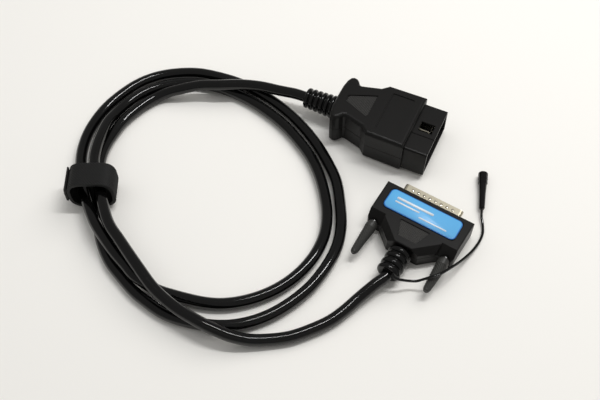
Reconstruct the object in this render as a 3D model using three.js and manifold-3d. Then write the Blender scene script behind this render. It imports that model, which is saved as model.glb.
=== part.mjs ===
// A vehicle diagnostic adaptor cable, in millimetres with +Z up and the table at z = 0.
// A 16-way diagnostic plug and a 25-way D-sub plug are joined by one round cable, which
// lies in a loop held by a hook-and-loop strap. A thin lead with an in-line socket leaves
// the D-sub plug's boot. +X is the diagnostic plug's mating direction.
import * as THREE from 'three';
import { mergeVertices } from 'three/addons/utils/BufferGeometryUtils.js';
import Module from 'manifold-3d';

const wasm = await Module();
wasm.setup();
const { Manifold, Mesh } = wasm;

const GAP = 0.3; // clearance between neighbouring parts

// ---------------------------------------------------------------- materials
const material = (color, roughness, metalness = 0) =>
  new THREE.MeshStandardMaterial({ color, roughness, metalness });
const HOUSING = material(0x1b1b1d, 0.55);
const INSERT = material(0x121213, 0.6);
const RUBBER = material(0x161617, 0.5);
const CABLE = material(0x0b0b0d, 0.2);
const WEAVE = material(0x151516, 0.95);
const TIN = material(0xd8cfae, 0.28, 1);
const STEEL = material(0xb9bbbe, 0.35, 1);
const BOARD = material(0x1d5a38, 0.5);
const LABEL = material(0x4f9bd6, 0.35);

// ---------------------------------------------------------------- helpers
function solid(geometry) {
  const bare = new THREE.BufferGeometry();
  bare.setAttribute('position', geometry.attributes.position);
  if (geometry.index) bare.setIndex(geometry.index);
  const merged = mergeVertices(bare, 1e-3);
  return new Manifold(new Mesh({
    numProp: 3,
    vertProperties: new Float32Array(merged.attributes.position.array),
    triVerts: new Uint32Array(merged.index.array),
  }));
}

function geometryOf(manifold) {
  const mesh = manifold.getMesh();
  const geometry = new THREE.BufferGeometry();
  const positions = new Float32Array(mesh.numVert * 3);
  for (let i = 0; i < mesh.numVert; i += 1) {
    positions.set(mesh.vertProperties.subarray(i * mesh.numProp, i * mesh.numProp + 3), i * 3);
  }
  geometry.setAttribute('position', new THREE.BufferAttribute(positions, 3));
  geometry.setIndex(new THREE.BufferAttribute(new Uint32Array(mesh.triVerts), 1));
  const flat = geometry.toNonIndexed();
  flat.computeVertexNormals();
  return flat;
}

function part(name, shape, skin) {
  const geometry = shape.isBufferGeometry ? shape : geometryOf(shape);
  const mesh = new THREE.Mesh(geometry, skin);
  mesh.name = name;
  return mesh;
}

// A box given by its lowest and highest corners.
function block(low, high) {
  const size = high.map((value, i) => value - low[i]);
  const geometry = new THREE.BoxGeometry(...size);
  geometry.translate(...low.map((value, i) => value + size[i] / 2));
  return solid(geometry);
}

// Mirrors a half outline, given as [along, half width], about the along axis.
function mirrored(half) {
  return [...half, ...half.map(([a, w]) => [a, -w]).reverse()];
}

function shapeOf(points) {
  return new THREE.Shape(points.map(([x, y]) => new THREE.Vector2(x, y)));
}

// A flat outline in X and Y, extruded from z0 to z1 with a bevel on both faces.
function slab(points, z0, z1, bevel = 0) {
  const geometry = new THREE.ExtrudeGeometry(shapeOf(points), {
    depth: z1 - z0 - 2 * bevel,
    bevelEnabled: bevel > 0,
    bevelThickness: bevel,
    bevelSize: bevel,
    bevelOffset: -bevel,
    bevelSegments: bevel > 1 ? 4 : 2,
    curveSegments: 6,
  });
  geometry.translate(0, 0, z0 + bevel);
  return solid(geometry);
}

// An outline in Y and Z, extruded along +X from x0 to x1.
function prismX(points, x0, x1) {
  const geometry = new THREE.ExtrudeGeometry(shapeOf(points), {
    depth: x1 - x0,
    bevelEnabled: false,
  });
  geometry.rotateX(Math.PI / 2);
  geometry.rotateZ(Math.PI / 2);
  geometry.translate(x0, 0, 0);
  return solid(geometry);
}

// An outline in X and Z, extruded along +Y from y0 to y1.
function prismY(points, y0, y1) {
  const geometry = new THREE.ExtrudeGeometry(shapeOf(points), {
    depth: y1 - y0,
    bevelEnabled: false,
  });
  geometry.rotateX(Math.PI / 2);
  geometry.translate(0, y1, 0);
  return solid(geometry);
}

// A turned part about +Y, from [radius, along] pairs that start and end on the axis.
function turned(profile, segments = 24) {
  return new THREE.LatheGeometry(profile.map(([r, y]) => new THREE.Vector2(r, y)), segments);
}

function rodY(radius, y0, y1, segments = 24) {
  return solid(turned([[0, y0], [radius, y0], [radius, y1], [0, y1]], segments));
}

function rodZ(radius, z0, z1, segments = 24) {
  return rodY(radius, z0, z1, segments).rotate([90, 0, 0]);
}

// A closed outline with its corners rounded by short arcs.
function rounded(points, radius, steps = 3) {
  const out = [];
  points.forEach((point, i) => {
    const here = new THREE.Vector2(...point);
    const before = new THREE.Vector2(...points.at(i - 1)).sub(here).normalize();
    const after = new THREE.Vector2(...points[(i + 1) % points.length]).sub(here).normalize();
    const start = here.clone().addScaledVector(before, radius);
    const end = here.clone().addScaledVector(after, radius);
    const curve = new THREE.QuadraticBezierCurve(start, here, end);
    curve.getPoints(steps).forEach((p) => out.push([p.x, p.y]));
  });
  return out;
}

// A round tube along a smooth curve through the given points.
function tube(points, radius, sides, steps) {
  const path = new THREE.CatmullRomCurve3(points.map((p) => new THREE.Vector3(...p)),
    false, 'centripetal');
  const circle = new THREE.Shape();
  for (let i = 0; i < sides; i += 1) {
    const angle = (2 * Math.PI * i) / sides;
    const method = i === 0 ? 'moveTo' : 'lineTo';
    circle[method](radius * Math.cos(angle), radius * Math.sin(angle));
  }
  circle.closePath();
  return new THREE.ExtrudeGeometry(circle, { steps, bevelEnabled: false, extrudePath: path });
}

// ---------------------------------------------------------------- diagnostic plug
// Local frame: +X is the mating direction and x = 0 is the housing's front face.
const OBD_POSITION = [9, 38, 0];
const OBD_HEIGHT = 24.8;
const OBD_AXIS_Z = 12.4;
const OBD_WALL = 2;
const OBD_BOOT_AXIS = [-0.8, 11.8]; // Y and Z of the cable's way in

const obdOutline = mirrored([
  [0, 21.3], [-25, 20.8], [-29.3, 16.8], [-41.2, 13.4], [-42.6, 13.8], [-44.2, 16.2],
  [-45.8, 17.6], [-48, 18], [-50, 17], [-51.4, 14], [-52.2, 8.5],
]);
const obdCavity = mirrored([
  [-2.2, 20.7], [-7.4, 20.7], [-8, 19.4], [-24.4, 19], [-28.7, 15], [-41.5, 11.6],
  [-44.5, 13.6], [-49.2, 13.6], [-50.2, 5],
]);
// The shroud's cross-section in Y and Z: wide side down, with slightly leaning sides.
const shroudSection = (inset) => rounded([
  [-20.4 + inset, 2.2 + inset], [20.4 - inset, 2.2 + inset],
  [19 - inset, 21.2 - inset], [-19 + inset, 21.2 - inset],
], 1.2 - Math.min(inset, 0.8));
const SHROUD_FRONT = 14.8;
const SHROUD_WALL = 1.4;
const PIN_PITCH = 4;
const PIN_ROWS = [16.2, 8.2];
const PIN_TIP = 9.6;
const PIN_TAIL = -12;

const diagnosticPlug = new THREE.Group();
diagnosticPlug.position.set(...OBD_POSITION);

const caseScrews = [-1, 1].map((side) => [-37, side * 8.2]);
const bootOpening = solid(turned([[0, -70], [6, -70], [6, -45], [0, -45]]))
  .rotate([0, 0, -90]).translate([0, ...OBD_BOOT_AXIS]);

function obdShell(isUpper) {
  let shell = slab(obdOutline, 0, OBD_HEIGHT, 2.2)
    .subtract(slab(obdCavity, OBD_WALL, OBD_HEIGHT - OBD_WALL))
    .subtract(prismX(shroudSection(-GAP), -8, 2))
    .subtract(bootOpening);
  for (const [x, y] of caseScrews) {
    shell = shell.add(rodZ(3.2, 1, OBD_HEIGHT - 1, 16).translate([x, y, 0]))
      .subtract(rodZ(1.5, 1, 18, 16).translate([x, y, 0]))
      .subtract(rodZ(2.9, -1, 2.4, 16).translate([x, y, 0]));
  }
  if (isUpper) {
    const label = rounded([[-20.8, -15.5], [-6.2, -15.5], [-6.2, 15.5], [-20.8, 15.5]], 1.2);
    const grip = rounded([[-46, -2.4], [-28.4, -9.6], [-28.4, 9.6], [-46, 2.4]], 1.2);
    return shell.subtract(block([-60, -30, -1], [5, 30, OBD_AXIS_Z + GAP / 2]))
      .subtract(slab(label, OBD_HEIGHT - 0.5, OBD_HEIGHT + 1))
      .subtract(slab(grip, OBD_HEIGHT - 0.6, OBD_HEIGHT + 1));
  }
  return shell.subtract(block([-60, -30, OBD_AXIS_Z - GAP / 2], [5, 30, OBD_HEIGHT + 1]));
}
diagnosticPlug.add(part('obd_upper_shell', obdShell(true), HOUSING));
diagnosticPlug.add(part('obd_lower_shell', obdShell(false), HOUSING));

const shroud = prismX(shroudSection(0), -7, SHROUD_FRONT)
  .add(block([-7, -15, 2.4], [-2.5, 15, 22.4]))
  .subtract(prismX(shroudSection(SHROUD_WALL), -8, SHROUD_FRONT + 1))
  .subtract(block([2.7, -2.6, 15], [11.7, 4.9, 25]))
  .subtract(block([-1, -6.3, 20.8], [SHROUD_FRONT + 1, -5.7, 25]));
diagnosticPlug.add(part('obd_shroud', shroud, HOUSING));

let insert = prismX(shroudSection(SHROUD_WALL + GAP), -6.5, 1.2)
  .add(block([0, -15.5, 11.2], [9, 15.5, 13.2]));
const pinPlaces = PIN_ROWS.flatMap((z) =>
  Array.from({ length: 8 }, (_, i) => [(3.5 - i) * PIN_PITCH, z]));
for (const [y, z] of pinPlaces) {
  insert = insert.subtract(block([-8, y - 0.7, z - 1.05], [2, y + 0.7, z + 1.05]));
}
diagnosticPlug.add(part('obd_insert', insert, INSERT));

pinPlaces.forEach(([y, z], i) => {
  const blade = block([PIN_TAIL, y - 0.4, z - 0.75], [PIN_TIP - 0.8, y + 0.4, z + 0.75])
    .add(block([PIN_TIP - 0.9, y - 0.25, z - 0.5], [PIN_TIP, y + 0.25, z + 0.5]));
  diagnosticPlug.add(part(`obd_pin_${i + 1}`, blade, TIN));
});

const boardX = PIN_TAIL - GAP - 1.6;
diagnosticPlug.add(part('obd_circuit_board', block([boardX, -17, 4], [boardX + 1.6, 17, 20.5]),
  BOARD));

caseScrews.forEach(([x, y], i) => {
  const screw = rodZ(2.5, 0.5, 2, 16).add(rodZ(1.2, 1.9, 15.5, 12));
  const mesh = part(`obd_case_screw_${i + 1}`, screw, STEEL);
  mesh.position.set(x, y, 0);
  diagnosticPlug.add(mesh);
});

// A rubber boot with rings: [radius, along] from the cable end to the flange in the shell.
function bootProfile(endRadius, rootRadius, length, rings, neck, flangeAt, flangeRadius) {
  const profile = [[0, 0]];
  const pitch = length / rings;
  for (let i = 0; i < rings; i += 1) {
    const r = endRadius + ((rootRadius - endRadius) * (i + 0.5)) / rings;
    const y = i * pitch;
    profile.push([r - 0.7, y], [r, y + 0.3 * pitch], [r, y + 0.62 * pitch],
      [r - 0.7, y + 0.72 * pitch], [r - 1.6, y + 0.74 * pitch], [r - 1.6, y + pitch]);
  }
  profile.push([neck, length + 0.02], [neck, flangeAt], [flangeRadius, flangeAt + 0.1],
    [flangeRadius, flangeAt + 1.8], [0, flangeAt + 1.8]);
  return profile;
}
const OBD_BOOT_END = -73.4;
const obdBoot = part('obd_cable_boot',
  turned(bootProfile(6.6, 7.6, 20.8, 6, 5.6, 24, 7.2), 24), RUBBER);
obdBoot.rotation.z = -Math.PI / 2;
obdBoot.position.set(OBD_BOOT_END, ...OBD_BOOT_AXIS);
diagnosticPlug.add(obdBoot);

// ---------------------------------------------------------------- 25-way plug
// Local frame: +Y is the mating direction and y = 0 is the hood's front face.
const DB_POSITION = [36.6, -6.4, 0];
const DB_TURN = THREE.MathUtils.degToRad(-7);
const DB_HEIGHT = 14.8;
const DB_AXIS_Z = 7.4;
const SCREW_X = 23.52; // half of the standard 47.04 mm jackscrew spacing

// Mirrors a half outline, given as [half width, along], left to right.
const acrossMirrored = (half) => [...half, ...half.map(([w, a]) => [-w, a]).reverse()];
const hoodOutline = acrossMirrored([
  [28.6, 0], [28.2, -24.8], [27.2, -26.2], [19.5, -26.2], [10, -34.8],
]);
const hoodCavity = acrossMirrored([
  [20, -2.8], [20, -9], [18.6, -9.5], [18.6, -18], [16, -20.5], [16, -25], [8.4, -32.8],
]);
// Behind the label the top of each screw ear slopes down to the parting line.
const earSlope = prismX([[-21.4, DB_HEIGHT + 0.1], [-26.3, DB_AXIS_Z], [-28, DB_AXIS_Z],
  [-28, DB_HEIGHT + 0.1]], 18.2, 30);
// The top of the neck is chamfered along its slanted sides, beside a flat boss.
const NECK_ANGLE = 42;
const neckSlope = prismX([[0, DB_HEIGHT + 0.1], [-4.2, 10], [-9, 10], [-9, DB_HEIGHT + 0.1]],
  -12, 7.5).rotate([0, 0, NECK_ANGLE]).translate([12.4, -27.9, 0]);
// The metal shell's D outline in X and Z, wide side up.
const dSection = (inset) => rounded([
  [-19.48 + inset, DB_AXIS_Z + 4.18 - inset], [-18 + inset, DB_AXIS_Z - 4.18 + inset],
  [18 - inset, DB_AXIS_Z - 4.18 + inset], [19.48 - inset, DB_AXIS_Z + 4.18 - inset],
], 2.4 - Math.min(inset, 1.2), 4);

const dsubPlug = new THREE.Group();
dsubPlug.position.set(...DB_POSITION);
dsubPlug.rotation.z = DB_TURN;

const screwChannels = [-1, 1].map((side) => rodY(1.9, -30, 2, 16)
  .add(rodY(3.4, -18, -11.6, 16)).translate([side * SCREW_X, 0, DB_AXIS_Z]));
const flangeRecess = block([-26.85, -2.9, DB_AXIS_Z - 6.6], [26.85, 1, DB_AXIS_Z + 6.6]);
const dsubBootOpening = rodY(5.6, -40, -30).translate([0, 0, DB_AXIS_Z]);

function hood(isUpper) {
  let shell = slab(hoodOutline, 0, DB_HEIGHT, 0.7)
    .subtract(slab(hoodCavity, 1.8, DB_HEIGHT - 1.8))
    .subtract(flangeRecess)
    .subtract(dsubBootOpening);
  for (const channel of screwChannels) shell = shell.subtract(channel);
  if (isUpper) {
    const recess = rounded([[-23.8, -17.8], [23.8, -17.8], [23.8, -2.7], [-23.8, -2.7]], 2.6);
    const grip = rounded([[-9.8, -19.7], [-6, -30.5], [6, -30.5], [9.8, -19.7]], 1);
    return shell.subtract(block([-30, -40, -1], [30, 2, DB_AXIS_Z + GAP / 2]))
      .subtract(earSlope)
      .subtract(earSlope.mirror([1, 0, 0]))
      .subtract(neckSlope)
      .subtract(neckSlope.mirror([1, 0, 0]))
      .subtract(slab(recess, DB_HEIGHT - 0.7, DB_HEIGHT + 1))
      .subtract(slab(grip, DB_HEIGHT - 0.6, DB_HEIGHT + 1));
  }
  return shell.subtract(block([-30, -40, DB_AXIS_Z - GAP / 2], [30, 2, DB_HEIGHT + 1]));
}
dsubPlug.add(part('db25_upper_hood', hood(true), HOUSING));
dsubPlug.add(part('db25_lower_hood', hood(false), HOUSING));

const labelOutline = rounded([[-23.4, -17.4], [23.4, -17.4], [23.4, -3.1], [-23.4, -3.1]], 2.6);
dsubPlug.add(part('db25_label_plate', slab(labelOutline, DB_HEIGHT - 0.4, DB_HEIGHT + 0.1),
  LABEL));

// Both flanges have a clearance hole for each jackscrew.
function flange(y0, y1) {
  let plate = block([-26.5, y0, DB_AXIS_Z - 6.25], [26.5, y1, DB_AXIS_Z + 6.25]);
  for (const side of [-1, 1]) {
    plate = plate.subtract(rodY(1.9, y0 - 1, y1 + 1, 16)
      .translate([side * SCREW_X, 0, DB_AXIS_Z]));
  }
  return plate;
}
const SHELL_WALL = 0.5;
const frontShell = flange(-1.3, -0.3).add(prismY(dSection(0), -1, 6.2))
  .subtract(prismY(dSection(SHELL_WALL), -2, 7));
dsubPlug.add(part('db25_front_shell', frontShell, TIN));
const rearShell = flange(-2.6, -1.6).add(prismY(dSection(0.2), -8, -2))
  .subtract(prismY(dSection(0.2 + SHELL_WALL), -9, 0));
dsubPlug.add(part('db25_rear_shell', rearShell, TIN));

let insulator = prismY(dSection(0.2 + SHELL_WALL + GAP), -7.6, 0.4);
const dsubRows = [
  { name: 'db25_pin_row_upper', count: 13, z: DB_AXIS_Z + 1.42 },
  { name: 'db25_pin_row_lower', count: 12, z: DB_AXIS_Z - 1.42 },
];
const DSUB_PITCH = 2.76;
const PIN_RADIUS = 0.5;
for (const row of dsubRows) {
  let comb = null;
  for (let i = 0; i < row.count; i += 1) {
    const x = (i - (row.count - 1) / 2) * DSUB_PITCH;
    insulator = insulator.subtract(rodY(0.85, -9, 2, 8).translate([x, 0, row.z]));
    const pin = rodY(PIN_RADIUS, -9, 4.9, 8).add(rodY(0.25, 4.8, 5.4, 8))
      .translate([x, 0, row.z]);
    comb = comb ? comb.add(pin) : pin;
  }
  const reach = ((row.count - 1) / 2) * DSUB_PITCH + 0.6;
  comb = comb.add(block([-reach, -9.6, row.z - 0.4], [reach, -8.6, row.z + 0.4]));
  dsubPlug.add(part(row.name, comb, TIN));
}
dsubPlug.add(part('db25_insulator', insulator, INSERT));
dsubPlug.add(part('db25_circuit_board',
  block([-13, -24, DB_AXIS_Z - 0.8], [13, -10.2, DB_AXIS_Z + 0.8]), BOARD));

// The boot's flange is flattened above and below to sit inside the thin hood.
const dsubBootShape = solid(turned(bootProfile(7.1, 7.3, 17.2, 4, 5.3, 19.9, 7.6), 24))
  .subtract(block([-9, 18, 5.3], [9, 23, 9]))
  .subtract(block([-9, 18, -9], [9, 23, -5.3]));
const dsubBoot = part('db25_cable_boot', dsubBootShape, RUBBER);
dsubBoot.position.set(0, -52.3, DB_AXIS_Z);
dsubPlug.add(dsubBoot);

// Each jackscrew turns in a retaining ring that floats 3 mm along the hood.
for (const [side, word] of [[-1, 'left'], [1, 'right']]) {
  const place = [side * SCREW_X, 0, DB_AXIS_Z];
  const handle = solid(turned([
    [0, -50.6], [1.4, -50.6], [1.9, -49.8], [2.1, -47.5], [3.4, -31.4], [3.5, -30.4],
    [3.5, -28.2], [2.8, -27.4], [2.8, -26.5], [0, -26.5],
  ], 20)).subtract(rodY(1.7, -34.6, -25, 16));
  const rod = rodY(1.4, -34.2, 2.2, 16).add(rodY(1.1, 2.1, 2.8, 16));
  const ring = rodY(2.9, -13.1, -11.9, 20).subtract(rodY(1.7, -14, -11, 16));
  for (const [name, shape, skin] of [
    [`db25_thumbscrew_handle_${word}`, handle, RUBBER],
    [`db25_jackscrew_${word}`, rod, STEEL],
    [`db25_retaining_ring_${word}`, ring, STEEL],
  ]) {
    const mesh = part(name, shape, skin);
    mesh.position.set(...place);
    dsubPlug.add(mesh);
  }
}

// ---------------------------------------------------------------- main cable
const CABLE_RADIUS = 3.5;
const cableRoute = [
  [-64.7, 37.2, 11.8], [-72, 37, 11.7], [-82, 35.3, 11.5], [-96, 33, 11.5], [-108, 29, 11.5],
  [-120, 23, 11.5], [-132, 18, 10.5], [-144, 11, 8], [-151, 7, 5.6], [-156, 2, 4],
  [-160, -5, 3.7], [-164, -16, 3.7], [-166, -25, 3.7], [-166.4, -35, 3.7], [-165.5, -47, 3.7],
  [-162, -58, 4.6], [-154.6, -71.2, 6], [-150, -77.8, 6.1], [-145.4, -84.5, 5.9],
  [-139.5, -95.5, 4], [-132, -105.5, 3.7], [-119, -116.5, 3.7], [-106, -123, 3.7],
  [-96, -127.3, 3.7], [-88, -129.5, 3.7], [-74, -132, 3.7], [-61, -131, 3.7], [-47, -127.5, 3.7],
  [-37, -123, 3.7], [-28, -116.5, 3.7], [-20, -108, 3.7], [-13, -97, 3.7], [-7, -83, 3.7],
  [-4, -68, 3.7], [-3.5, -53, 3.7], [-7, -38, 3.7], [-14, -23.5, 3.7], [-23, -9, 3.7],
  [-33.5, 1.5, 3.7], [-46.5, 12, 3.7], [-61, 21, 3.7], [-75, 27.5, 3.7], [-89, 32, 3.7],
  [-101, 34.5, 3.7], [-114, 35.5, 3.7], [-128, 34.5, 3.7], [-141, 32, 3.7], [-153, 26.5, 3.7],
  [-164, 18.5, 3.7], [-172.5, 8, 3.7], [-178.5, -6, 3.7], [-182, -22, 3.7], [-181.5, -40, 3.7],
  [-178, -53, 4], [-172, -64.5, 5.5], [-163.4, -75.4, 7.3], [-157.9, -81.6, 7.9],
  [-152.2, -87.7, 9.2], [-138, -100.3, 10.7], [-126, -107.7, 10.5], [-115.4, -113.3, 9.6],
  [-107, -117, 9.5], [-99.3, -120.4, 9.1], [-92, -121, 6.2], [-85, -121.2, 4.1],
  [-76, -120.2, 3.7], [-58, -117, 3.7], [-48, -113.5, 3.7], [-39, -108, 3.7], [-30, -100, 3.7],
  [-22, -89.5, 3.7], [-16, -76.5, 3.7], [-13, -62, 3.7], [-13.5, -48, 3.7], [-17.5, -35, 3.7],
  [-23.5, -24, 3.7], [-33, -11, 3.7], [-44, 0, 3.7], [-57, 9, 3.7], [-71, 16.5, 3.7],
  [-88, 22.5, 3.7], [-105, 26, 3.7], [-122, 26.5, 3.7], [-133, 25, 3.7], [-144, 21, 3.7],
  [-154.5, 14, 3.7], [-164, 4.5, 3.7], [-170, -7, 3.7], [-172.8, -20.8, 5], [-172.5, -31.4, 7.6],
  [-169.7, -42.3, 9.9], [-166, -53.5, 11.5], [-161.5, -63.2, 12.3], [-155.1, -71.4, 13.3],
  [-149.4, -77.5, 14], [-143.4, -83.9, 14.6], [-128.1, -99.5, 15.2], [-116, -106.8, 15.4],
  [-99, -116.6, 15.6], [-82.5, -125, 13.6], [-67, -129.3, 12.2], [-53, -131, 11.6],
  [-44, -131.3, 10.8], [-33, -130, 8], [-23, -126.5, 5], [-13, -121, 3.7], [-4, -115, 3.7],
  [4, -107, 3.7], [12, -97, 3.7], [17.2, -87, 3.9], [20.6, -79, 4.7], [23.9, -72, 5.8],
  [27.2, -65.5, 6.9], [29.6, -61.4, 7.4], [30.2, -58.6, 7.4],
];
const cable = part('main_cable', tube(cableRoute, CABLE_RADIUS, 10, 84), CABLE);

// ---------------------------------------------------------------- strap
// Local frame: +Y runs along the three strands it holds.
const strap = new THREE.Group();
strap.position.set(-152.5, -79, 0);
strap.rotation.z = THREE.MathUtils.degToRad(-154);
const STRAP_HALF = 8;
const strapSection = (inset, radius) => rounded([
  [-14 + inset, inset], [14 - inset, inset], [14 - inset, 23.5 - inset], [-14 + inset, 23.5 - inset],
], radius, 6);
const band = prismY(strapSection(0, 9), -STRAP_HALF, STRAP_HALF)
  .subtract(prismY(strapSection(1.8, 8), -20, 20));
strap.add(part('hook_and_loop_strap', band, WEAVE));
const overlap = prismY([
  [14.3, 7], [15.6, 7], [15.6, 14.7], [15, 18.9], [14.6, 19.6], [13.7, 18.9], [14.3, 14.7],
], -STRAP_HALF, STRAP_HALF);
strap.add(part('strap_overlap_end', overlap, WEAVE));

// ---------------------------------------------------------------- thin lead and socket
const leadRoute = [
  [33.2, -60, 12.2], [35.8, -60.9, 11.4], [39.6, -59.3, 9.5], [43.3, -57.1, 7.6],
  [47, -55.4, 7.4], [50.5, -53.8, 9.8], [53.9, -52, 12], [57.5, -48.6, 12.3],
  [61.8, -40.5, 9.8], [64.9, -33, 6.5], [67.3, -26, 3.8], [69.5, -18.7, 2], [70.8, -11.6, 1.2],
  [70.8, -5.7, 1.1], [69.2, -0.5, 1.2], [66.5, 4.8, 2.2], [65.1, 8.7, 3.1],
];
const lead = part('lead_wire', tube(leadRoute, 0.8, 8, 60), CABLE);

const socket = new THREE.Group();
socket.position.set(65, 9.2, 3.1);
socket.rotation.z = THREE.MathUtils.degToRad(16.5);
const SOCKET_LENGTH = 26.5;
const sleeve = solid(turned([
  [0, 0.2], [1.4, 0.2], [1.8, 1], [2.1, 12], [2.5, 18.4], [2.9, 18.8], [2.9, 20.6], [2.7, 20.8],
  [2.7, 21.6], [3, 21.8], [3, 23.6], [2.8, 23.8], [2.8, 24.6], [3, 24.8],
  [3, SOCKET_LENGTH - 0.4], [2.7, SOCKET_LENGTH], [0, SOCKET_LENGTH],
], 20)).subtract(rodY(1.7, SOCKET_LENGTH - 11, SOCKET_LENGTH + 1, 16));
socket.add(part('lead_socket_sleeve', sleeve, RUBBER));
const contact = rodY(1.4, SOCKET_LENGTH - 10.7, SOCKET_LENGTH - 0.8, 16)
  .subtract(rodY(0.9, SOCKET_LENGTH - 9, SOCKET_LENGTH + 1, 12));
socket.add(part('lead_socket_contact', contact, TIN));

// ---------------------------------------------------------------- assembly
const adaptor = new THREE.Group();
adaptor.name = 'diagnostic_adaptor_cable';
adaptor.add(diagnosticPlug, dsubPlug, cable, strap, lead, socket);

export default adaptor;
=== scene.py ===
"""Looks for the vehicle diagnostic adaptor cable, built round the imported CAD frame."""

import math

import bmesh
import bpy
from mathutils import Matrix, Vector


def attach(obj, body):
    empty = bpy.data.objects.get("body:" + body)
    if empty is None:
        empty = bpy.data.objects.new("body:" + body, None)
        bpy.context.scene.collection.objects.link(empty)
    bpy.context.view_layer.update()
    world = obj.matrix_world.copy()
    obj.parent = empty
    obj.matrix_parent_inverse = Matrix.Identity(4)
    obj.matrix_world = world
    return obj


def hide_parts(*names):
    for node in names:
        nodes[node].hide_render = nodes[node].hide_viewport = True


MM = 0.001
ROOT = "adaptor"

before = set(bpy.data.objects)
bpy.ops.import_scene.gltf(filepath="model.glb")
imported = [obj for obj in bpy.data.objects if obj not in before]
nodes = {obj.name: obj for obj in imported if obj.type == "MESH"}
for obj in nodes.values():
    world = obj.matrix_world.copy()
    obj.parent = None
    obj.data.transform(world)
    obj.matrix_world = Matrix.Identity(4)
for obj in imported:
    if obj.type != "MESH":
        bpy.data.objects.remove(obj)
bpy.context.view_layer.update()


# ---------------------------------------------------------------- materials
def material(name, colour, roughness, metallic=0.0, specular=0.5, coat=0.0, coat_roughness=0.1):
    made = bpy.data.materials.new(name)
    made.use_nodes = True
    shader = made.node_tree.nodes["Principled BSDF"]
    shader.inputs["Base Color"].default_value = (*colour, 1)
    shader.inputs["Roughness"].default_value = roughness
    shader.inputs["Metallic"].default_value = metallic
    shader.inputs["Specular IOR Level"].default_value = specular
    shader.inputs["Coat Weight"].default_value = coat
    shader.inputs["Coat Roughness"].default_value = coat_roughness
    return made


def add_bump(made, texture, strength, distance):
    """Drives the shader's normal from a noise texture."""
    tree = made.node_tree
    bump = tree.nodes.new("ShaderNodeBump")
    bump.inputs["Strength"].default_value = strength
    bump.inputs["Distance"].default_value = distance
    tree.links.new(texture.outputs["Fac"], bump.inputs["Height"])
    tree.links.new(bump.outputs["Normal"], tree.nodes["Principled BSDF"].inputs["Normal"])


def object_noise(made, scale, detail=2.0):
    """A noise texture fixed to the object."""
    tree = made.node_tree
    place = tree.nodes.new("ShaderNodeTexCoord")
    noise = tree.nodes.new("ShaderNodeTexNoise")
    noise.inputs["Scale"].default_value = scale
    noise.inputs["Detail"].default_value = detail
    tree.links.new(place.outputs["Object"], noise.inputs["Vector"])
    return noise


HOUSING = material("black_housing", (0.007, 0.0067, 0.0064), 0.36, specular=0.2)
add_bump(HOUSING, object_noise(HOUSING, 2600), 0.25, 0.00005)
# The grip ridges are the housing's black plastic, given a lighter base as painted sheen where
# light catches them.
GRIP_PAINTED_SHEEN = material("hatched_grip_painted_sheen", (0.048, 0.047, 0.045), 0.34, specular=0.5)
INSERT = material("black_insert", (0.004, 0.004, 0.004), 0.6, specular=0.3)
RUBBER = material("boot_rubber", (0.002, 0.002, 0.002), 0.16, specular=0.35)
JACKET = material("cable_jacket", (0.002, 0.002, 0.002), 0.09, specular=0.4)
# The handles' plastic is given a lighter grey base as painted sheen on the knurl.
KNURL_PAINTED_SHEEN = material("thumbscrew_plastic", (0.032, 0.032, 0.03), 0.42, specular=0.4)
WEAVE = material("strap_weave", (0.008, 0.008, 0.008), 0.62, specular=0.3)
TIN = material("tinned_shell", (0.64, 0.59, 0.46), 0.33, metallic=1.0)
# This brighter metal serves the contacts and, as a painted highlight, the shell's dimples.
CONTACT_AND_DIMPLE_GLINT = material("tinned_contact", (0.86, 0.80, 0.66), 0.25, metallic=1.0)
STEEL = material("plated_steel", (0.45, 0.45, 0.45), 0.35, metallic=1.0)
BOARD = material("circuit_board", (0.03, 0.16, 0.07), 0.5)
LABEL = material("blue_label", (0.11, 0.41, 0.75), 0.4, coat=0.25, coat_roughness=0.3)
LABEL_EDGE = material("label_edge", (0.02, 0.16, 0.5), 0.3)
PRINT = material("label_print", (0.75, 0.8, 0.86), 0.5)

NODE_SKINS = {
    HOUSING: ["obd_upper_shell", "obd_lower_shell", "obd_shroud", "db25_upper_hood",
              "db25_lower_hood"],
    INSERT: ["obd_insert", "db25_insulator"],
    CONTACT_AND_DIMPLE_GLINT: ["lead_socket_contact", "db25_pin_row_upper", "db25_pin_row_lower"]
    + [f"obd_pin_{i}" for i in range(1, 17)],
    TIN: ["db25_front_shell", "db25_rear_shell"],
    STEEL: ["obd_case_screw_1", "obd_case_screw_2", "db25_jackscrew_left",
            "db25_jackscrew_right", "db25_retaining_ring_left", "db25_retaining_ring_right"],
    RUBBER: ["obd_cable_boot", "db25_cable_boot", "lead_socket_sleeve"],
    KNURL_PAINTED_SHEEN: ["db25_thumbscrew_handle_left", "db25_thumbscrew_handle_right"],
    BOARD: ["obd_circuit_board", "db25_circuit_board"],
    LABEL: ["db25_label_plate"],
    JACKET: ["main_cable", "lead_wire"],
    WEAVE: ["hook_and_loop_strap", "strap_overlap_end"],
}
for skin, names in NODE_SKINS.items():
    for name in names:
        nodes[name].data.materials.clear()
        nodes[name].data.materials.append(skin)

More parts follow.
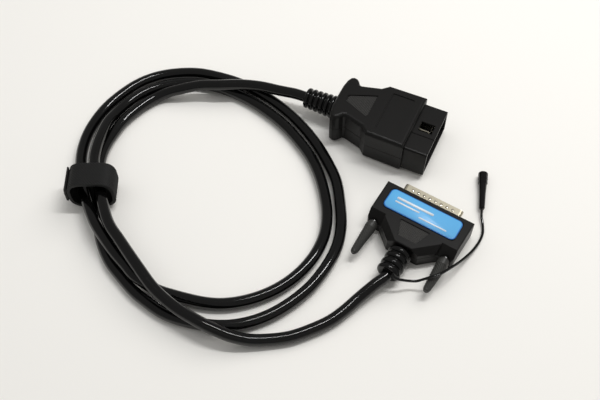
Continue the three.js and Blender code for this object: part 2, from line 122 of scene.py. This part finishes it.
# ---------------------------------------------------------------- cords
CABLE_DIAMETER = 0.007
CABLE_SPACING = 0.003
CABLE_ROUTE = [
    (-64.7, 37.2, 11.8), (-72, 37, 11.7), (-82, 35.3, 11.5), (-96, 33, 11.5), (-108, 29, 11.5),
    (-120, 23, 11.5), (-132, 18, 10.5), (-144, 11, 8), (-151, 7, 5.6), (-156, 2, 4),
    (-160, -5, 3.7), (-164, -16, 3.7), (-166, -25, 3.7), (-166.4, -35, 3.7), (-165.5, -47, 3.7),
    (-162, -58, 4.6), (-154.6, -71.2, 6), (-150, -77.8, 6.1), (-145.4, -84.5, 5.9),
    (-139.5, -95.5, 4), (-132, -105.5, 3.7), (-119, -116.5, 3.7), (-106, -123, 3.7),
    (-96, -127.3, 3.7), (-88, -129.5, 3.7), (-74, -132, 3.7), (-61, -131, 3.7), (-47, -127.5, 3.7),
    (-37, -123, 3.7), (-28, -116.5, 3.7), (-20, -108, 3.7), (-13, -97, 3.7), (-7, -83, 3.7),
    (-4, -68, 3.7), (-3.5, -53, 3.7), (-7, -38, 3.7), (-14, -23.5, 3.7), (-23, -9, 3.7),
    (-33.5, 1.5, 3.7), (-46.5, 12, 3.7), (-61, 21, 3.7), (-75, 27.5, 3.7), (-89, 32, 3.7),
    (-101, 34.5, 3.7), (-114, 35.5, 3.7), (-128, 34.5, 3.7), (-141, 32, 3.7), (-153, 26.5, 3.7),
    (-164, 18.5, 3.7), (-172.5, 8, 3.7), (-178.5, -6, 3.7), (-182, -22, 3.7), (-181.5, -40, 3.7),
    (-178, -53, 4), (-172, -64.5, 5.5), (-163.4, -75.4, 7.3), (-157.9, -81.6, 7.9),
    (-152.2, -87.7, 9.2), (-138, -100.3, 10.7), (-126, -107.7, 10.5), (-115.4, -113.3, 9.6),
    (-107, -117, 9.5), (-99.3, -120.4, 9.1), (-92, -121, 6.2), (-85, -121.2, 4.1),
    (-76, -120.2, 3.7), (-58, -117, 3.7), (-48, -113.5, 3.7), (-39, -108, 3.7), (-30, -100, 3.7),
    (-22, -89.5, 3.7), (-16, -76.5, 3.7), (-13, -62, 3.7), (-13.5, -48, 3.7), (-17.5, -35, 3.7),
    (-23.5, -24, 3.7), (-33, -11, 3.7), (-44, 0, 3.7), (-57, 9, 3.7), (-71, 16.5, 3.7),
    (-88, 22.5, 3.7), (-105, 26, 3.7), (-122, 26.5, 3.7), (-133, 25, 3.7), (-144, 21, 3.7),
    (-154.5, 14, 3.7), (-164, 4.5, 3.7), (-170, -7, 3.7), (-172.8, -20.8, 5), (-172.5, -31.4, 7.6),
    (-169.7, -42.3, 9.9), (-166, -53.5, 11.5), (-161.5, -63.2, 12.3), (-155.1, -71.4, 13.3),
    (-149.4, -77.5, 14), (-143.4, -83.9, 14.6), (-128.1, -99.5, 15.2), (-116, -106.8, 15.4),
    (-99, -116.6, 15.6), (-82.5, -125, 13.6), (-67, -129.3, 12.2), (-53, -131, 11.6),
    (-44, -131.3, 10.8), (-33, -130, 8), (-23, -126.5, 5), (-13, -121, 3.7), (-4, -115, 3.7),
    (4, -107, 3.7), (12, -97, 3.7), (17.2, -87, 3.9), (20.6, -79, 4.7), (23.9, -72, 5.8),
    (27.2, -65.5, 6.9), (29.6, -61.4, 7.4), (30.2, -58.6, 7.4),
]
LEAD_DIAMETER = 0.0016
LEAD_SPACING = 0.0015
LEAD_ROUTE = [
    (33.2, -60, 12.2), (35.8, -60.9, 11.4), (39.6, -59.3, 9.5), (43.3, -57.1, 7.6),
    (47, -55.4, 7.4), (50.5, -53.8, 9.8), (53.9, -52, 12), (57.5, -48.6, 12.3),
    (61.8, -40.5, 9.8), (64.9, -33, 6.5), (67.3, -26, 3.8), (69.5, -18.7, 2), (70.8, -11.6, 1.2),
    (70.8, -5.7, 1.1), (69.2, -0.5, 1.2), (66.5, 4.8, 2.2), (65.1, 8.7, 3.1),
]


def spline_points(route, spacing):
    """Points close together on a centripetal Catmull-Rom curve through the route."""
    knots = [Vector(p) * MM for p in route]
    knots = [2 * knots[0] - knots[1], *knots, 2 * knots[-1] - knots[-2]]
    out = []
    for p0, p1, p2, p3 in zip(knots, knots[1:], knots[2:], knots[3:]):
        t0 = 0.0
        t1 = t0 + (p1 - p0).length ** 0.5
        t2 = t1 + (p2 - p1).length ** 0.5
        t3 = t2 + (p3 - p2).length ** 0.5
        count = max(2, round((p2 - p1).length / spacing))
        for i in range(count):
            t = t1 + (t2 - t1) * i / count
            a1 = p0 * ((t1 - t) / (t1 - t0)) + p1 * ((t - t0) / (t1 - t0))
            a2 = p1 * ((t2 - t) / (t2 - t1)) + p2 * ((t - t1) / (t2 - t1))
            a3 = p2 * ((t3 - t) / (t3 - t2)) + p3 * ((t - t2) / (t3 - t2))
            b1 = a1 * ((t2 - t) / (t2 - t0)) + a2 * ((t - t0) / (t2 - t0))
            b2 = a2 * ((t3 - t) / (t3 - t1)) + a3 * ((t - t1) / (t3 - t1))
            out.append(b1 * ((t2 - t) / (t2 - t1)) + b2 * ((t - t1) / (t2 - t1)))
    out.append(knots[-2])
    return out


def cord_curve(name, route, diameter, skin, spacing):
    """A round cord along the route, as one open curve; returns it and its length."""
    points = spline_points(route, spacing)
    curve = bpy.data.curves.new(name, "CURVE")
    curve.dimensions = "3D"
    curve.bevel_depth = diameter / 2
    curve.bevel_resolution = 6
    curve.use_fill_caps = True
    line = curve.splines.new("POLY")
    line.points.add(len(points) - 1)
    for knot, point in zip(line.points, points):
        knot.co = (*point, 1)
    line.use_smooth = True
    curve.materials.append(skin)
    made = bpy.data.objects.new(name, curve)
    bpy.context.scene.collection.objects.link(made)
    return made, sum((b - a).length for a, b in zip(points, points[1:]))


cable, cable_length = cord_curve("cable", CABLE_ROUTE, CABLE_DIAMETER, JACKET, CABLE_SPACING)
lead, lead_length = cord_curve("side_lead", LEAD_ROUTE, LEAD_DIAMETER, JACKET, LEAD_SPACING)
for cord, node in ((cable, "main_cable"), (lead, "lead_wire")):
    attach(cord, ROOT)
    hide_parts(node)


# ---------------------------------------------------------------- fine pieces
def place_of(x, y, turn_degrees):
    """The frame of a group of parts that stands on the table, from its place in millimetres."""
    return (Matrix.Translation(Vector((x, y, 0)) * MM)
            @ Matrix.Rotation(math.radians(turn_degrees), 4, "Z"))


DIAGNOSTIC = place_of(9, 38, 0)  # +X is this plug's mating direction
DSUB = place_of(36.6, -6.4, -7)  # +Y is this plug's mating direction
STRAP = place_of(-152.5, -79, -154)  # +Y runs along the strands
OBD_HEIGHT = 24.8
OBD_BOOT_AXIS = (0, -0.8, 11.8)
DB_HEIGHT = 14.8
DB_AXIS_Z = 7.4
SCREW_X = 23.52  # half of the distance between the two jackscrews


def piece(name, vertices, faces, frame_matrix, skin, body=ROOT, replaced=None,
          smooth=True):
    """A mesh object from points in millimetres in its group's frame."""
    data = bpy.data.meshes.new(name)
    data.from_pydata([frame_matrix @ (Vector(v) * MM) for v in vertices], [], faces)
    data.materials.append(skin)
    made = bpy.data.objects.new(name, data)
    bpy.context.scene.collection.objects.link(made)
    mesh = bmesh.new()
    mesh.from_mesh(data)
    bmesh.ops.recalc_face_normals(mesh, faces=mesh.faces)
    mesh.to_mesh(data)
    mesh.free()
    if smooth:
        data.shade_smooth()
    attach(made, body)
    if replaced:
        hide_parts(replaced)
    return made


def lofted(rings, closed=False):
    """Faces that join rings of equal length; the ends are capped unless the loft is closed."""
    count = len(rings[0])
    vertices = [v for ring in rings for v in ring]
    faces = []
    for i in range(len(rings) if closed else len(rings) - 1):
        near, far = i * count, ((i + 1) % len(rings)) * count
        for j in range(count):
            k = (j + 1) % count
            faces.append((near + j, near + k, far + k, far + j))
    if not closed:
        faces.append(tuple(range(count)))
        faces.append(tuple(range((len(rings) - 1) * count, len(rings) * count)))
    return vertices, faces


def turned(profile, segments, axis_point, along="Y", bumps=None):
    """Rings about an axis, from (radius, along) pairs; bumps(i, j) adds to the radius."""
    rings = []
    for i, (radius, distance) in enumerate(profile):
        ring = []
        for j in range(segments):
            angle = math.tau * j / segments
            r = radius + (bumps(i, j) if bumps else 0)
            u, v = r * math.cos(angle), r * math.sin(angle)
            offset = (u, distance, v) if along == "Y" else (distance, u, v)
            ring.append(tuple(a + b for a, b in zip(axis_point, offset)))
        rings.append(ring)
    return lofted(rings)


def ringed_boot(name, node, frame_matrix, axis_point, along, start, length, rings, crest,
                flange):
    """A rubber boot with fat half-round rings and a round flange inside the plug."""
    pitch = length / rings
    end_crest, root_crest = crest
    profile = [(3.9, start + 0.4), (end_crest - 2.2, start)]
    for i in range(rings):
        top = end_crest + (root_crest - end_crest) * (i + 0.5) / rings
        for step in range(9):
            swing = math.pi * step / 8
            profile.append((top - 1.5 + 1.5 * math.sin(swing) ** 0.7,
                            start + pitch * (i + 0.42 - 0.4 * math.cos(swing))))
    flange_at, flange_radius, neck = flange
    profile += [(neck, start + length + 0.1), (neck, flange_at), (flange_radius, flange_at + 0.1),
                (flange_radius, flange_at + 1.7), (neck - 1, flange_at + 1.7)]
    vertices, faces = turned(profile, 40, axis_point, along)
    return piece(name, vertices, faces, frame_matrix, RUBBER, replaced=node)


def ridge(start, end, width, z, height):
    """The corners and faces of one low three-sided ridge between two points."""
    direction = (Vector(end) - Vector(start)).normalized()
    side = Vector((-direction.y, direction.x)) * width / 2
    corners = []
    for x, y in (start, end):
        corners += [(x + side.x, y + side.y, z), (x - side.x, y - side.y, z),
                    (x, y, z + height)]
    return corners, [(0, 1, 2), (3, 5, 4), (0, 3, 4, 1), (1, 4, 5, 2), (2, 5, 3, 0)]


def hatched(name, outline, z, pitch, angles, frame_matrix, height=0.3):
    """Fine parallel ridges that fill a convex outline, once for each angle."""
    vertices, faces = [], []
    for angle in angles:
        turn = math.radians(angle)
        direction = Vector((math.cos(turn), math.sin(turn)))
        normal = Vector((-direction.y, direction.x))
        reach = [normal.dot(Vector(p)) for p in outline]
        level = min(reach) + pitch / 2
        while level < max(reach):
            hits = []
            for a, b in zip(outline, outline[1:] + outline[:1]):
                da, db = normal.dot(Vector(a)) - level, normal.dot(Vector(b)) - level
                if da * db < 0:
                    hits.append(Vector(a).lerp(Vector(b), da / (da - db)))
            if len(hits) == 2 and (hits[1] - hits[0]).length > pitch:
                corners, sides = ridge(hits[0], hits[1], pitch * 0.75, z, height)
                base = len(vertices)
                vertices += corners
                faces += [tuple(base + i for i in side) for side in sides]
            level += pitch
    return piece(name, vertices, faces, frame_matrix, GRIP_PAINTED_SHEEN, smooth=False)


def rounded_outline(half_x, half_y, centre, radius, steps=6):
    """A rectangle's outline with its corners rounded by arcs."""
    out = []
    for corner, (sx, sy) in enumerate(((1, 1), (-1, 1), (-1, -1), (1, -1))):
        for step in range(steps + 1):
            angle = math.pi / 2 * (corner + step / steps)
            out.append((centre[0] + sx * (half_x - radius) + radius * math.cos(angle),
                        centre[1] + sy * (half_y - radius) + radius * math.sin(angle)))
    return out


def plate_rings(half_x, half_y, centre, radius, levels):
    """Rings of a rounded rectangle, from (inset, z) pairs."""
    return [[(x, y, z) for x, y in
             rounded_outline(half_x - inset, half_y - inset, centre, radius - inset)]
            for inset, z in levels]


# The two boots.
ringed_boot("diagnostic_boot", "obd_cable_boot", DIAGNOSTIC, OBD_BOOT_AXIS, "X",
            -73.4, 20.8, 6, (6.6, 7.6), (-49.4, 7.2, 5.6))
ringed_boot("dsub_boot", "db25_cable_boot", DSUB, (0, 0, DB_AXIS_Z), "Y",
            -52.3, 17.2, 4, (7.2, 7.3), (-32.3, 5.2, 5))

# The hatched finger grips, in the recesses of the two housings; their ridges take the lighter grip
# plastic as painted sheen.
hatched("diagnostic_grip", [(-45.4, -2.2), (-29, -8.9), (-29, 8.9), (-45.4, 2.2)],
        OBD_HEIGHT - 0.65, 0.95, (62,), DIAGNOSTIC)
hatched("dsub_grip", [(-9.2, -20.2), (-5.6, -30.1), (5.6, -30.1), (9.2, -20.2)],
        DB_HEIGHT - 0.65, 1.0, (0, 90), DSUB)

# The label: a bevelled plate with a darker rim, a glossy field and plain generic bars.
LABEL_CENTRE = (0, -10.25)
vertices, faces = lofted(plate_rings(23.4, 7.15, LABEL_CENTRE, 3, [
    (0.3, DB_HEIGHT - 0.4), (0, DB_HEIGHT - 0.1), (0, DB_HEIGHT + 0.3), (0.12, DB_HEIGHT + 0.45),
    (0.45, DB_HEIGHT + 0.55)]))
piece("label_rim", vertices, faces, DSUB, LABEL_EDGE, replaced="db25_label_plate")
vertices, faces = lofted(plate_rings(22.85, 6.6, LABEL_CENTRE, 2.5, [
    (0, DB_HEIGHT + 0.5), (0.1, DB_HEIGHT + 0.62)]))
piece("label_field", vertices, faces, DSUB, LABEL)
for i, (x, y, half_x, half_y) in enumerate([(-6, -8.2, 12, 0.8), (-10, -11, 8, 0.5),
                                            (8, -14, 9, 0.45)]):
    vertices, faces = lofted(plate_rings(half_x, half_y, (x, y), half_y, [
        (0, DB_HEIGHT + 0.55), (0, DB_HEIGHT + 0.74)]))
    piece(f"label_bar_{i + 1}", vertices, faces, DSUB, PRINT)


def knurled(i, j):
    """Small raised diamonds on the handle's straight taper."""
    return 0.28 if 4 <= i <= 26 and (i + j) % 2 == 0 else 0.0


# The two thumbscrew handles: a tapered, knurled grip.
handle_profile = [(0.9, -50.4), (1.3, -50.6), (1.85, -49.9), (2.0, -49.2)]
handle_profile += [(2.0 + 1.2 * i / 22, -49 + 17.6 * i / 22) for i in range(23)]
handle_profile += [(3.35, -31.2), (3.5, -30.8), (3.5, -28.4), (3.3, -28.1), (2.8, -27.8),
                   (2.8, -26.5), (1.6, -26.5)]
for side, word in ((-1, "left"), (1, "right")):
    vertices, faces = turned(handle_profile, 20, (side * SCREW_X, 0, DB_AXIS_Z), "Y", knurled)
    # The handle's lighter plastic is painted sheen on the knurl.
    piece(f"knurled_handle_{word}", vertices, faces, DSUB, KNURL_PAINTED_SHEEN, body=f"{word}_screw",
          replaced=f"db25_thumbscrew_handle_{word}", smooth=False)

# Pressed dimples along the top of the metal D shell, in the brighter contact metal as a painted
# highlight.
DIMPLES = 8
DIMPLE_PITCH = 3.75
DIMPLE_Y = 3.4
DIMPLE_SIDES = 14
SHELL_TOP = DB_AXIS_Z + 4.18
for i in range(DIMPLES):
    x = (i - (DIMPLES - 1) / 2) * DIMPLE_PITCH
    angles = [math.tau * j / DIMPLE_SIDES for j in range(DIMPLE_SIDES)]
    rings = [[(x + r * math.cos(a), DIMPLE_Y + r * math.sin(a), SHELL_TOP + z) for a in angles]
             for r, z in ((1.05, -0.1), (1.0, 0.08), (0.75, 0.24), (0.35, 0.32))]
    vertices, faces = lofted(rings)
    piece(f"shell_dimple_{i + 1}", vertices, faces, DSUB, CONTACT_AND_DIMPLE_GLINT)


STRAP_HALF_X = 14
STRAP_TOP = 23.5
STRAP_HALF_WIDTH = 8


def strap_section(inset, radius, steps=8):
    """The strap's loop in X and Z, with its corners rounded by quadratic curves."""
    half_x, top = STRAP_HALF_X - inset, STRAP_TOP - inset
    corners = [(-half_x, inset), (half_x, inset), (half_x, top), (-half_x, top)]
    out = []
    for i, corner in enumerate(corners):
        here = Vector(corner)
        before = (Vector(corners[i - 1]) - here).normalized() * radius
        after = (Vector(corners[(i + 1) % 4]) - here).normalized() * radius
        for step in range(steps + 1):
            t = step / steps
            point = here + before * (1 - t) ** 2 + after * t ** 2
            out.append((point.x, point.y))
    return out


def even_loop(points, spacing):
    """A closed outline resampled to an even number of equally spaced points."""
    ends = points[1:] + points[:1]
    lengths = [math.dist(a, b) for a, b in zip(points, ends)]
    count = 2 * round(sum(lengths) / spacing / 2)
    step = sum(lengths) / count
    out, walked, i = [], 0.0, 0
    for k in range(count):
        while walked + lengths[i] < k * step:
            walked += lengths[i]
            i += 1
        t = (k * step - walked) / lengths[i]
        out.append(tuple(a + (b - a) * t for a, b in zip(points[i], ends[i])))
    return out


# The strap: a band whose outside is woven in small raised squares.
THREAD = 0.85
STRAP_ROWS = 19
STRAP_CENTRE_Z = STRAP_TOP / 2
loop = even_loop(strap_section(0.1, 9), THREAD)
inside = [(x * 0.872, STRAP_CENTRE_Z + (z - STRAP_CENTRE_Z) * 0.848) for x, z in loop]
rings = [[(x, -STRAP_HALF_WIDTH, z) for x, z in inside],
         [(x * 0.985, -STRAP_HALF_WIDTH, z) for x, z in loop]]
for row in range(STRAP_ROWS):
    y = -7.8 + 15.6 * row / (STRAP_ROWS - 1)
    ring = []
    for j, (x, z) in enumerate(loop):
        lift = 1 + (0.012 if (row + j) % 2 else -0.004)
        ring.append((x * lift, y, max(0.02, STRAP_CENTRE_Z + (z - STRAP_CENTRE_Z) * lift)))
    rings.append(ring)
rings += [[(x * 0.985, STRAP_HALF_WIDTH, z) for x, z in loop],
          [(x, STRAP_HALF_WIDTH, z) for x, z in inside]]
vertices, faces = lofted(rings, closed=True)
piece("woven_band", vertices, faces, STRAP, WEAVE, replaced="hook_and_loop_strap",
      smooth=False)

# ---------------------------------------------------------------- stage
FLOOR = material("pale_table", (0.86, 0.85, 0.82), 0.8, specular=0.2)
bpy.ops.mesh.primitive_plane_add(size=6, location=(0, 0, -0.0001))
floor = bpy.context.object
floor.name = "table_top"
floor.data.materials.append(FLOOR)

AWAY = Vector((-0.4226, 0.9063, 0))  # from the camera, along the table
RIGHT = Vector((0.9063, 0.4226, 0))
LOOK_AT = Vector((-0.038, -0.0293, 0))
ELEVATION = math.radians(57)
DISTANCE = 0.52


def area_light(name, place, size, power, colour=(1, 1, 1), glossy=False):
    """A rectangular light that faces the set; only a glossy one shows in reflections."""
    data = bpy.data.lights.new(name, "AREA")
    data.shape = "RECTANGLE"
    data.size, data.size_y = size
    data.energy = power
    data.color = colour
    light = bpy.data.objects.new(name, data)
    light.location = LOOK_AT + place
    back = place.normalized()
    across = (RIGHT - back * RIGHT.dot(back)).normalized()
    light.matrix_world = (Matrix.Translation(light.location)
                          @ Matrix((across, back.cross(across), back)).transposed().to_4x4())
    light.visible_glossy = glossy
    bpy.context.scene.collection.objects.link(light)


world = bpy.data.worlds.new("studio")
world.use_nodes = True
world.node_tree.nodes["Background"].inputs["Color"].default_value = (1, 0.985, 0.96, 1)
world.node_tree.nodes["Background"].inputs["Strength"].default_value = 0.3
bpy.context.scene.world = world
area_light("key", RIGHT * 0.6 + AWAY * 0.6 + Vector((0, 0, 1.0)), (1.0, 1.0), 7.6,
           (1, 0.975, 0.94))
area_light("strip", RIGHT * 0.3 + AWAY * 0.25 + Vector((0, 0, 1.2)), (0.75, 0.04), 6.5,
           glossy=True)
area_light("fill", RIGHT * -0.7 + AWAY * 0.2 + Vector((0, 0, 1.2)), (1.2, 1.2), 3.5)

camera_data = bpy.data.cameras.new("camera")
camera_data.sensor_width = 36
camera_data.lens = 51
camera = bpy.data.objects.new("camera", camera_data)
camera.location = (LOOK_AT - AWAY * (DISTANCE * math.cos(ELEVATION))
                   + Vector((0, 0, DISTANCE * math.sin(ELEVATION))))
camera.rotation_mode = "QUATERNION"
camera.rotation_quaternion = (LOOK_AT - camera.location).to_track_quat("-Z", "Y")
bpy.context.scene.collection.objects.link(camera)
bpy.context.scene.camera = camera
bpy.context.scene.view_settings.view_transform = "Standard"
